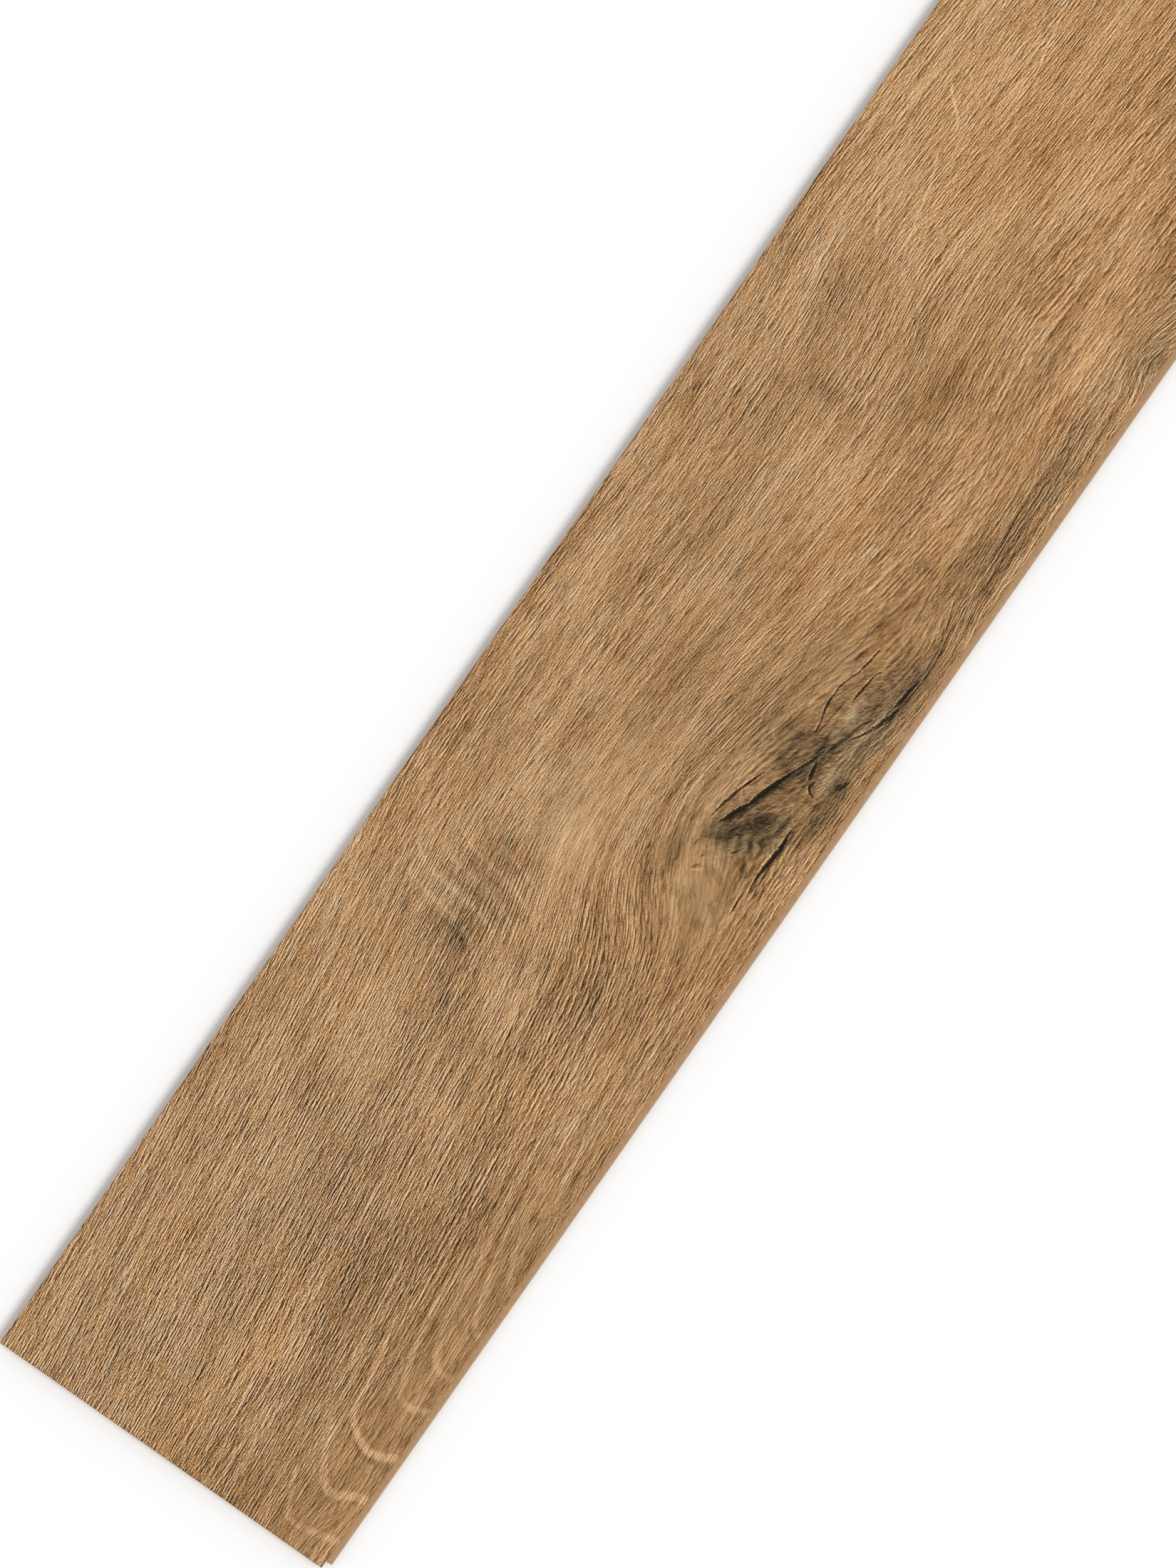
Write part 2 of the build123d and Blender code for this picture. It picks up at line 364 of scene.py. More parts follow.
        (752, 52.4, 0.3), (758, 54.4, 0.7), (763, 59.6, 0.6), (768, 65.6, 0.5), (774, 70, 0.2)]),
    ("line", PALE_LINE * 1.3, 0.0, [(772, 58.6, 0.2), (778, 60.6, 0.5), (783.5, 66.4, 0.2)]),
    ("line", PALE_LINE * 1.3, 0.0, [(793, 35.4, 0.2), (806, 38.4, 0.5), (822, 41.4, 0.5), (838, 44.6, 0.3)]),
    ("line", PALE_LINE * 0.6, 0.0, [(598, 72, 0.2), (610, 77, 0.4), (622, 82, 0.3)]),
]

# Where the decor has more or less relief: (s, t, reach along, reach across, tilt, change)
RELIEF_SPOTS = [
    (90, 25, 170, 75, 0, 0.65),
    (368, 6, 34, 22, 14, -0.4),
    (376, -58, 38, 28, 30, -0.85),
    (420, -36, 30, 9, 0, -0.3),
    (492, -48, 62, 18, -6, -0.4),
    (760, 30, 110, 70, 0, 0.15),
    (540, -66, 60, 18, 0, -0.3),
    (90, -86, 160, 20, 0, -0.55),
    (485, -69, 14, 5, 0, -0.4),
    (620, -40, 160, 40, 0, -0.1),
    (710, -48, 150, 34, 0, -0.25),
]

# Where the knot's own fibres run askew: (s, t, reach along, reach across, tilt, share)
KNOT_SPOTS = [
    (418, -56, 26, 14, -30, 1.0),
    (450, -76, 30, 16, 0, 0.9),
    (470, -62, 30, 14, -15, 0.8),
    (510, -74, 30, 14, -20, 0.8),
]

# Length and width of the board's relief cells in millimetres: (s, length) and (t, width)
CELL_LENGTHS = [
    (0, 3), (200, 3), (230, 6.5), (268, 6.5), (284, 2.6), (345, 2.6), (362, 2.6), (374, 1.6), (530, 1.6),
    (560, 6.5), (1285, 6.5),
]
CELL_WIDTHS = [(-96, 0.65), (-36, 0.65), (-20, 1.15), (96, 1.15)]


# The drawn marks' fields: the largest distance in millimetres, how far beyond a mark's edge its half width
# is held and how fast it falls after that, and the room between marks that share a field
FIELD_REACH = 9.0
HELD_CELLS, HELD_AT_LEAST, FALL_BEYOND = 1.1, 0.5, 2.0
GROUP_GAP = 0.8
# Width of a cut's sloping sides, and more than any distance on the board
CUT_SLOPE = 0.5
FAR = 1e9


def soft_spots(s, t, spots):
    """Sum of soft elliptical spots, each (s, t, reach along, reach across, tilt, value)."""
    total = np.zeros_like(s)
    for centre_s, centre_t, along, across, tilt, value in spots:
        cosine, sine = math.cos(math.radians(tilt)), math.sin(math.radians(tilt))
        ds, dt = s - centre_s, t - centre_t
        u = (ds * cosine + dt * sine) / along
        v = (dt * cosine - ds * sine) / across
        total += value * np.exp(-u * u - v * v)
    return total


def smooth_step(low, high, value):
    """A soft rise from 0 at low to 1 at high."""
    ramp = np.clip((value - low) / (high - low), 0, 1)
    return ramp * ramp * (3 - 2 * ramp)


def grain_lines(s, t):
    """The number of the grain line at each point, which is its t at the near end where nothing lifts it."""
    places = np.arange(-SLOPE_MARGIN, FACE_LENGTH + SLOPE_MARGIN, SLOPE_STEP)
    slopes = np.tan(np.radians(np.interp(places, *np.array(GRAIN_SLOPES, float).T)))
    climbed = np.interp(s, places, np.cumsum(slopes) * SLOPE_STEP)
    share = EDGE_SLOPE_SHARE + (1 - EDGE_SLOPE_SHARE) * smooth_step(*EDGE_SLOPE_T, t)
    lift = climbed * share
    for height, foot, top, fall_top, fall_foot, crest, above, below in GRAIN_HILLS:
        along = smooth_step(foot, top, s) * (1 - smooth_step(fall_top, fall_foot, s))
        reach = np.where(t > crest, above, below)
        lift += height * along * np.exp(-((t - crest) / reach) ** 2)
    for height, along, across, start in GRAIN_WAVES:
        lift -= height * np.sin(s / along + t / across + start)
    return t - lift


def stroke_distance(points, s, t):
    """Signed distance across a stroke, its half width there and the plain distance to it."""
    best = np.full(s.shape, FAR)
    side = np.zeros(s.shape)
    width = np.full(s.shape, -FIELD_REACH)
    last = len(points) - 2
    for k, (a, b) in enumerate(zip(points[:-1], points[1:])):
        ds, dt = b[0] - a[0], b[1] - a[1]
        length = math.hypot(ds, dt)
        along = ((s - a[0]) * ds + (t - a[1]) * dt) / length
        across = ((t - a[1]) * ds - (s - a[0]) * dt) / length
        inside = np.clip(along, 0, length)
        distance = np.hypot(along - inside, across)
        half = a[2] + (b[2] - a[2]) * inside / length
        beyond = np.zeros(s.shape)
        if k == 0:
            beyond += np.maximum(-along, 0)
        if k == last:
            beyond += np.maximum(along - length, 0)
        nearer = distance < best
        best = np.where(nearer, distance, best)
        signed = np.where(beyond > 0, across, np.copysign(distance, across))
        side = np.where(nearer, signed, side)
        width = np.where(nearer, half - beyond, width)
    return side, width, best


def cell_length(s):
    """Length of the board's relief cells at s."""
    return np.interp(s, *np.array(CELL_LENGTHS, float).T)


def gap_between(one, other):
    """Smallest distance between two strokes, taken from the points of each to the line of the other."""
    one, other = np.array(one[3], float), np.array(other[3], float)
    there = stroke_distance(other, one[:, 0], one[:, 1])[2].min()
    back = stroke_distance(one, other[:, 0], other[:, 1])[2].min()
    return min(there, back)


def room_round(stroke):
    """How far from a stroke's line the board's cells still hold its distance."""
    points = np.array(stroke[3], float)
    return points[:, 2].max() + HELD_CELLS * cell_length(points[:, 0]).max() + GROUP_GAP


def group_strokes():
    """Shares the strokes out into groups of one kind, each with its strokes well apart."""
    groups = []
    for stroke in STROKES:
        for kind, members in groups:
            clear = all(
                gap_between(stroke, other) > room_round(stroke) + room_round(other) for other in members)
            if kind == stroke[0] and clear:
                members.append(stroke)
                break
        else:
            groups.append((stroke[0], [stroke]))
    return groups


def stroke_field(members, s, t):
    """For each point the nearest stroke's signed distance, half width and tone, and the strokes' relief."""
    best = np.full(s.shape, FAR)
    field = np.zeros(s.shape + (3,))
    relief = np.zeros(s.shape)
    for _, tone, deep, points in members:
        side, width, distance = stroke_distance(points, s, t)
        reach = np.maximum(width + HELD_CELLS * cell_length(s), HELD_AT_LEAST)
        held = np.maximum(width - FALL_BEYOND * np.maximum(distance - reach, 0), -FIELD_REACH)
        side_held = np.clip(side, -FIELD_REACH, FIELD_REACH)
        values = np.stack([side_held, held, np.full(s.shape, float(tone))], -1)
        nearer = distance < best
        best = np.where(nearer, distance, best)
        field[nearer] = values[nearer]
        relief = np.maximum(relief, np.clip((width - abs(side)) / CUT_SLOPE + 0.5, 0, 1) * deep)
    return field, relief


def grid_line(low, high, places, steps):
    """Grid lines from low to high whose spacing follows the steps given at the places."""
    lines = [low]
    while lines[-1] < high:
        lines.append(lines[-1] + float(np.interp(lines[-1], places, steps)))
    lines = np.array(lines)
    return low + (lines - low) * (high - low) / (lines[-1] - low)


def decor_fields(s, t, groups):
    """What the decor's material reads at the grid's points, and the depth of the cuts."""
    relief = 1.0 + soft_spots(s, t, RELIEF_SPOTS)
    tone = soft_spots(s, t, [patch[:6] for patch in PATCHES])
    grey = soft_spots(s, t, [patch[:5] + (patch[6],) for patch in PATCHES])
    knot = np.clip(soft_spots(s, t, KNOT_SPOTS), 0, 1)
    fields = {
        "grain": np.stack([s, grain_lines(s, t), relief], -1),
        "patch": np.stack([tone, grey, knot], -1),
    }
    depth = np.zeros_like(s)
    for number, (kind, members) in enumerate(groups, 1):
        fields[f"mark_{number}"], cut = stroke_field(members, s, t)
        depth = np.maximum(depth, cut)
    return fields, depth


def frame_board():
    """The frame's solid without its decor face and arris, and the height of the arris's foot."""
    board = bmesh.new()
    board.from_mesh(plank_node.data)
    bmesh.ops.remove_doubles(board, verts=board.verts, dist=SAME_PLACE)
    arris_foot = sorted({round(vertex.co.z, 7) for vertex in board.verts})[-2]
    upper = [face for face in board.faces if min(v.co.z for v in face.verts) > arris_foot - SAME_PLACE]
    bmesh.ops.delete(board, geom=upper, context="FACES")
    loose = [vertex for vertex in board.verts if not vertex.link_faces]
    bmesh.ops.delete(board, geom=loose, context="VERTS")
    flat = math.radians(FLAT_DEGREES)
    bmesh.ops.dissolve_limit(
        board, angle_limit=flat, verts=board.verts, edges=board.edges, delimit={"NORMAL"})
    board.verts.index_update()
    return board, arris_foot


def rim_along(rim, axis, highest, order):
    """The rim's points on one side, in order."""
    extreme = (max if highest else min)(vertex.co[axis] for vertex in rim)
    side = [vertex for vertex in rim if abs(vertex.co[axis] - extreme) < SAME_PLACE]
    return [vertex.index for vertex in sorted(side, key=order)]


def build_board(groups):
    """The whole board: the milled edges and underside as in the frame, and a finely divided decor face."""
    board, arris_foot = frame_board()
    along = grid_line(0.0, FACE_LENGTH, *np.array(CELL_LENGTHS, float).T)
    across = grid_line(-FACE_WIDTH / 2, FACE_WIDTH / 2, *np.array(CELL_WIDTHS, float).T)
    s, t = np.meshgrid(along, across, indexing="ij")
    fields, depth = decor_fields(s, t, groups)
    depth[[0, -1], :] = 0.0
    depth[:, [0, -1]] = 0.0
    x = face_low[0] + s * MM
    y = (face_low[1] + face_high[1]) / 2 + t * MM
    z = face_height - depth * MM

    lower = [tuple(vertex.co) for vertex in board.verts]
    faces = [[vertex.index for vertex in face.verts] for face in board.faces]
    milled = len(faces)
    rim = [vertex for vertex in board.verts if vertex.co.z > arris_foot - SAME_PLACE]
    number = len(lower) + np.arange(s.size).reshape(s.shape)
    sides = [
        (rim_along(rim, 1, False, lambda v: v.co.x), number[:, 0]),
        (rim_along(rim, 0, True, lambda v: v.co.y), number[-1, :]),
        (rim_along(rim, 1, True, lambda v: -v.co.x), number[::-1, -1]),
        (rim_along(rim, 0, False, lambda v: -v.co.y), number[0, ::-1]),
    ]
    board.free()
    faces += [low_side + top_side[::-1].tolist() for low_side, top_side in sides]
    quads = np.stack([number[:-1, :-1], number[1:, :-1], number[1:, 1:], number[:-1, 1:]], -1)
    points = lower + np.stack([x, y, z], -1).reshape(-1, 3).tolist()
    mesh = bpy.data.meshes.new("board")
    mesh.from_pydata(points, [], faces + quads.reshape(-1, 4).tolist())
    mesh.validate()
    for name, values in fields.items():
        whole = np.zeros((len(points), 3), np.float32)
        whole[:, 1] = -FIELD_REACH
        whole[len(lower):] = values.reshape(-1, 3)
        mesh.attributes.new(name, "FLOAT_VECTOR", "POINT").data.foreach_set("vector", whole.ravel())
    smooth = np.zeros(len(mesh.polygons), bool)
    smooth[len(faces):] = True
    mesh.polygons.foreach_set("use_smooth", smooth)
    slots = np.full(len(mesh.polygons), DECOR, np.int32)
    for face in mesh.polygons[:milled]:
        slots[face.index] = BACK if face.normal.z < 0 and face.center.z < SAME_PLACE else CORE
    mesh.polygons.foreach_set("material_index", slots)
    lay_out(mesh, milled)
    return mesh


# The baking map, in shares of its square: margin, and rows for the milled edges, underside and decor
MAP_MARGIN = 0.01
EDGE_ROWS = (0.005, 0.045, 0.085)
EDGE_ROW_HEIGHT = 0.036
BACK_ROWS = (0.13, 0.20)
DECOR_ROWS = (0.21, 0.99)
# Shares of an edge's row: the height of upright faces, the feet of faces turned up and down and the height
# of both, which stands for this reach into the joint in metres. Faces at 45 degrees count as level.
LEVEL_NORMAL = 0.7071
UPRIGHT_HEIGHT = 0.5
UP_FOOT, DOWN_FOOT, LEVEL_HEIGHT = 0.55, 0.8, 0.18
JOINT_REACH = 0.005


def edge_place(normal, where, low, high):
    """Which way an edge face looks (0 for X and 1 for Y) and its points' heights in its row of the map."""
    middle = where.mean(0)
    if abs(normal.z) < LEVEL_NORMAL:
        axis = 1 if abs(normal.y) > abs(normal.x) else 0
        return axis, UPRIGHT_HEIGHT * where[:, 2] / high[2]
    to_end = min(high[0] - middle[0], middle[0] - low[0])
    to_side = min(high[1] - middle[1], middle[1] - low[1])
    axis = 1 if to_side < to_end else 0
    outward = high[axis] - where[:, axis] if middle[axis] > 0 else where[:, axis] - low[axis]
    foot = UP_FOOT if normal.z > 0 else DOWN_FOOT
    return axis, foot + LEVEL_HEIGHT * np.clip(outward / JOINT_REACH, 0, 1)


def lay_out(mesh, milled):
    """The map for baking: strips for the edges and the underside at its foot, and the decor above."""
    points = np.zeros(len(mesh.vertices) * 3)
    mesh.vertices.foreach_get("co", points)
    points = points.reshape(-1, 3)
    low, high = points.min(0), points.max(0)
    corners = np.zeros(len(mesh.loops), np.int32)
    mesh.loops.foreach_get("vertex_index", corners)
    share = ((points - low) / (high - low))[corners]
    u = MAP_MARGIN + (1 - 2 * MAP_MARGIN) * share[:, 0]
    v = DECOR_ROWS[0] + (DECOR_ROWS[1] - DECOR_ROWS[0]) * share[:, 1]
    for face in mesh.polygons[:milled]:
        own = range(face.loop_start, face.loop_start + face.loop_total)
        if face.material_index == BACK:
            v[own] = BACK_ROWS[0] + (BACK_ROWS[1] - BACK_ROWS[0]) * share[own, 1]
            continue
        where = points[corners[own]]
        axis, height = edge_place(face.normal, where, low, high)
        if axis == 1:
            row = EDGE_ROWS[0 if where[:, 1].mean() < 0 else 1]
        else:
            row = EDGE_ROWS[2]
            start = 0.0 if where[:, 0].mean() < 0 else 0.5
            u[own] = start + MAP_MARGIN + (0.5 - 2 * MAP_MARGIN) * share[own, 1]
        v[own] = row + EDGE_ROW_HEIGHT * height
    layer = mesh.uv_layers.new(name="OFBake")
    layer.data.foreach_set("uv", np.stack([u, v], -1).astype(np.float32).ravel())


def wire(tree, value, socket):
    """Joins an output to a socket, or writes a plain value on it."""
    if isinstance(value, bpy.types.NodeSocket):
        tree.links.new(value, socket)
    else:
        socket.default_value = value


def calculate(tree, operation, *values):
    """A math node."""
    node = tree.nodes.new("ShaderNodeMath")
    node.operation = operation
    for value, socket in zip(values, node.inputs):
        wire(tree, value, socket)
    return node.outputs[0]


def times(tree, *values):
    """The product of several values."""
    product = values[0]
    for value in values[1:]:
        product = calculate(tree, "MULTIPLY", product, value)
    return product


def add_up(tree, *values):
    """The sum of several values."""
    total = values[0]
    for value in values[1:]:
        total = calculate(tree, "ADD", total, value)
    return total


def map_range(tree, value, low, high, to_low=0.0, to_high=1.0, kind="LINEAR"):
    """Value taken from one range to another and held there."""
    node = tree.nodes.new("ShaderNodeMapRange")
    node.interpolation_type = kind
    given = {"Value": value, "From Min": low, "From Max": high, "To Min": to_low, "To Max": to_high}
    for name, number in given.items():
        wire(tree, number, node.inputs[name])
    return node.outputs["Result"]


def soft_mask(tree, value, low, high):
    """A soft rise from 0 at low to 1 at high."""
    return map_range(tree, value, low, high, kind="SMOOTHSTEP")


def noise(tree, vector, detail=0.0, roughness=0.5, distortion=0.0):
    """Flat noise between 0 and 1."""
    node = tree.nodes.new("ShaderNodeTexNoise")
    node.noise_dimensions = "2D"
    wire(tree, vector, node.inputs["Vector"])
    node.inputs["Scale"].default_value = 1.0
    node.inputs["Detail"].default_value = detail
    node.inputs["Roughness"].default_value = roughness
    node.inputs["Distortion"].default_value = distortion
    return node.outputs[0]


def solid_noise(tree, vector, scale, detail):
    """Noise through the whole board, in millimetres."""
    node = tree.nodes.new("ShaderNodeTexNoise")
    wire(tree, vector, node.inputs["Vector"])
    node.inputs["Scale"].default_value = scale
    node.inputs["Detail"].default_value = detail
    return node.outputs[0]


# How far apart along and across the seeds move a noise, in millimetres
SEED_STEP = (731.7, 377.3)


def stretched(tree, vector, length, width, seed, turn=0.0, shift=0.0):
    """Coordinates in steps of length along and width across, turned by some degrees."""
    node = tree.nodes.new("ShaderNodeMapping")
    node.vector_type = "TEXTURE"
    wire(tree, vector, node.inputs["Vector"])
    node.inputs["Location"].default_value = (seed * SEED_STEP[0], seed * SEED_STEP[1] + shift, 0.0)
    node.inputs["Rotation"].default_value = (0.0, 0.0, math.radians(turn))
    node.inputs["Scale"].default_value = (length, width, 1.0)
    return node.outputs[0]


def centred(tree, value, amount):
    """Noise about zero, scaled."""
    return times(tree, calculate(tree, "SUBTRACT", value, 0.5), amount)


def attribute(tree, name):
    """One of the board's own fields."""
    node = tree.nodes.new("ShaderNodeAttribute")
    node.attribute_name = name
    return node.outputs["Vector"]


def millimetres(tree):
    """The place on the board in millimetres."""
    node = tree.nodes.new("ShaderNodeVectorMath")
    node.operation = "SCALE"
    wire(tree, tree.nodes.new("ShaderNodeTexCoord").outputs["Object"], node.inputs[0])
    node.inputs["Scale"].default_value = 1 / MM
    return node.outputs[0]


def parts_of(tree, vector):
    """The three parts of a vector."""
    node = tree.nodes.new("ShaderNodeSeparateXYZ")
    wire(tree, vector, node.inputs[0])
    return node.outputs


def display_colour(red, green, blue):
    """A display colour from 0 to 255 as the linear colour that nodes use."""
    def linear(value):
        value = value / 255
        return value / 12.92 if value <= 0.04045 else ((value + 0.055) / 1.055) ** 2.4
    return (linear(red), linear(green), linear(blue), 1.0)


# The decor's colours from dark to pale: (brightness, red, green, blue)
DECOR_COLOURS = [
    (20, 30, 17, 8), (44, 54, 40, 27), (73, 98, 70, 43), (97, 130, 96, 63), (121, 158, 121, 85),
    (136, 174, 136, 98), (153, 192, 153, 113), (176, 214, 176, 137), (205, 236, 206, 171),
]
# The same steps where the wood is grey
GREY_COLOURS = [
    (20, 28, 18, 9), (44, 51, 40, 28), (73, 91, 71, 50), (97, 119, 97, 71), (119, 144, 119, 90),
    (136, 161, 136, 104), (153, 178, 153, 121), (176, 201, 176, 144), (205, 226, 205, 178),
]
CORE_COLOURS = [(80, 120, 90, 62), (120, 166, 132, 96), (140, 184, 150, 113), (165, 204, 172, 136)]
BACK_COLOURS = [(150, 168, 152, 130), (172, 190, 174, 152), (186, 203, 188, 167)]


def colour_ramp(tree, brightness, colours):
    """Colour for a brightness in steps of 1/255."""
    node = tree.nodes.new("ShaderNodeValToRGB")
    wire(tree, calculate(tree, "DIVIDE", brightness, 255.0), node.inputs[0])
    elements = node.color_ramp.elements
    while len(elements) < len(colours):
        elements.new(0.5)
    for element, (step, red, green, blue) in zip(elements, colours):
        element.position = step / 255
        element.color = display_colour(red, green, blue)
    return node.outputs["Color"]


def mixed_colour(tree, share, colour, other):
    """Two colours mixed, with the share of the other one."""
    node = tree.nodes.new("ShaderNodeMix")
    node.data_type = "RGBA"
    sockets = [socket for socket in node.inputs if socket.enabled]
    for value, socket in zip((share, colour, other), sockets):
        wire(tree, value, socket)
    return next(socket for socket in node.outputs if socket.enabled)


def surface(tree, shader, colour, height, roughness, specular):
    """The shader's colour, its bumps from a height in millimetres, and its sheen."""
    wire(tree, colour, shader.inputs["Base Color"])
    bump = tree.nodes.new("ShaderNodeBump")
    bump.inputs["Strength"].default_value = 1.0
    bump.inputs["Distance"].default_value = MM
    wire(tree, height, bump.inputs["Height"])
    wire(tree, bump.outputs[0], shader.inputs["Normal"])
    wire(tree, roughness, shader.inputs["Roughness"])
    wire(tree, specular, shader.inputs["Specular IOR Level"])


def new_material(name):
    """An empty node material and its shader."""
    material = bpy.data.materials.new(name)
    material.use_nodes = True
    tree = material.node_tree
    tree.nodes.clear()
    output = tree.nodes.new("ShaderNodeOutputMaterial")
    shader = tree.nodes.new("ShaderNodeBsdfPrincipled")
    tree.links.new(shader.outputs[0], output.inputs["Surface"])
    return material, tree, shader


# Grain noises: (length, width, seed), in millimetres
CLOUDS, BANDS, BLOTCHES = (62, 24, 1), (60, 4.2, 2), (9.0, 2.6, 9)
LONG_FURROWS, SHORT_FURROWS = (36.0, 0.95, 6), (5.2, 0.70, 8)
CROWDS, HUES = (34, 8, 7), (34.0, 9.0, 13)
SPECKLES, FRAYING = (0.75, 0.65, 5), (1.3, 0.7, 12)
# The knot's fibres: (length, width, seed), turn in degrees and tone
HATCHINGS = [((7.0, 0.62, 10), -26, 150), ((5.0, 0.62, 11), -62, 110)]

# The furrows' shares in the pores, where their sum turns to pore, and how noise and tone crowd them
LONG_SHARE, SHORT_SHARE, PORE_RANGE = 0.6, 0.4, (0.575, 0.635)
CROWD_AMOUNT, CROWD_BY_TONE = 0.10, -0.0010
BLOTCH_RANGE = (0.48, 0.66)
# Painted light and shade on the furrows' sides: the colour changes by the noise this many millimetres across
# the grain less the noise here
PAINTED_SHADING_SHIFT = 0.4

# Tones in steps of 1/255 of display brightness, each for its noise's whole rise from 0 to 1
PLAIN_TONE, PATCH_GAIN = 139.0, 1.4
CLOUD_TONE, BAND_TONE, BLOTCH_TONE = 52, 72, -21.0
# The long, short and pore side tones are painted light and shade on the furrows' sides
LONG_SIDE_PAINTED_SHADING, SHORT_SIDE_PAINTED_SHADING, PORE_SIDE_PAINTED_SHADING, PORE_TONE, SPECKLE_TONE = 170.0, 165.0, 36.0, -10.0, 170
# The fine grain's tone, with the painted light and shade on its furrows' sides, is held softly to a limit,
# and the knot has less of it
FINE_RANGE, FINE_LIMIT = 95.0, 62.0
KNOT_SMOOTHING = 0.75

# Greyness from the blotches and hues, and its part in the colour: (greyness from and to, result from and to)
BLOTCH_GREY, HUE_GREY = 0.2, 0.65
GREY_RANGE = (0.0, 1.1)
SATURATION = (-0.6, 0.1, 1.19, 1.08)
HUE = (-0.5, 0.7, 0.498, 0.502)

# Embossing in millimetres, and the roughness, higher on the short furrows' crests
LONG_HEIGHT, SHORT_HEIGHT, SPECKLE_HEIGHT, PORE_HEIGHT = -0.20, -0.18, 0.16, -0.10
DECOR_ROUGHNESS = (0.3, 0.7, 0.46, 0.60)
DECOR_SPECULAR = 0.12

# How ragged and how soft the marks' edges are, and how far the painted highlight along a cut's rim stands
# out and its tone
MARK_EDGES = {"cut": (1.5, 0.28), "line": (0.9, 0.3), "soft": (1.2, 1.0)}
RIM_HIGHLIGHT_SHIFT, RIM_PAINTED_HIGHLIGHT = 0.55, 40.0


def furrows(tree, grain, crowding, shift):
    """Long and short furrows and the pores among them, moved across the grain by a shift."""
    long = noise(tree, stretched(tree, grain, *LONG_FURROWS, shift=shift), 2.0, 0.6)
    short = noise(tree, stretched(tree, grain, *SHORT_FURROWS, shift=shift), 1.0, 0.6)
    both = add_up(tree, times(tree, long, LONG_SHARE), times(tree, short, SHORT_SHARE), crowding)
    return long, short, soft_mask(tree, both, *PORE_RANGE)


def marks(tree, groups, ragged):
    """The drawn marks' change of brightness, with a painted highlight along one rim of each cut."""
    drawn = 0.0
    for number, (kind, _) in enumerate(groups, 1):
        side, width, step = parts_of(tree, attribute(tree, f"mark_{number}"))
        rough, soft = MARK_EDGES[kind]
        edge = add_up(tree, width, times(tree, ragged, rough))
        inside = calculate(tree, "SUBTRACT", edge, calculate(tree, "ABSOLUTE", side))
        mask = soft_mask(tree, inside, -soft, soft)
        drawn = add_up(tree, drawn, times(tree, mask, step))
        if kind == "cut":
            # Painted highlight: a pale line along the cut's rim on the side whose wall would face the lamp
            upper = calculate(tree, "ABSOLUTE", calculate(tree, "SUBTRACT", side, RIM_HIGHLIGHT_SHIFT))
            painted_rim_light = soft_mask(tree, calculate(tree, "SUBTRACT", edge, upper), -soft, soft)
            rim = calculate(tree, "MAXIMUM", calculate(tree, "SUBTRACT", painted_rim_light, mask), 0.0)
            drawn = add_up(tree, drawn, times(tree, rim, RIM_PAINTED_HIGHLIGHT))
    return drawn


def fine_grain_and_painted_shading(tree, lower, upper, speckle):
    """Painted light and shade on the furrows' sides, the pores and the specks."""
    painted_shading_tones = (LONG_SIDE_PAINTED_SHADING, SHORT_SIDE_PAINTED_SHADING, PORE_SIDE_PAINTED_SHADING)
    # Painted light and shade: each furrow's noise a little across the grain less its noise here
    sides = [
        times(tree, calculate(tree, "SUBTRACT", above, here), tone)
        for above, here, tone in zip(upper, lower, painted_shading_tones)
    ]
    total = add_up(tree, *sides, times(tree, lower[2], PORE_TONE), centred(tree, speckle, SPECKLE_TONE))
    return map_range(tree, total, -FINE_RANGE, FINE_RANGE, -FINE_LIMIT, FINE_LIMIT, "SMOOTHSTEP")


def decor_colour(tree, brightness, dull):
    """The oak's colour for its brightness and greyness."""
    colour = mixed_colour(
        tree, map_range(tree, dull, *GREY_RANGE), colour_ramp(tree, brightness, DECOR_COLOURS),
        colour_ramp(tree, brightness, GREY_COLOURS))
    node = tree.nodes.new("ShaderNodeHueSaturation")
    wire(tree, colour, node.inputs["Color"])
    wire(tree, map_range(tree, dull, *SATURATION), node.inputs["Saturation"])
    wire(tree, map_range(tree, dull, *HUE), node.inputs["Hue"])
    return node.outputs[0]


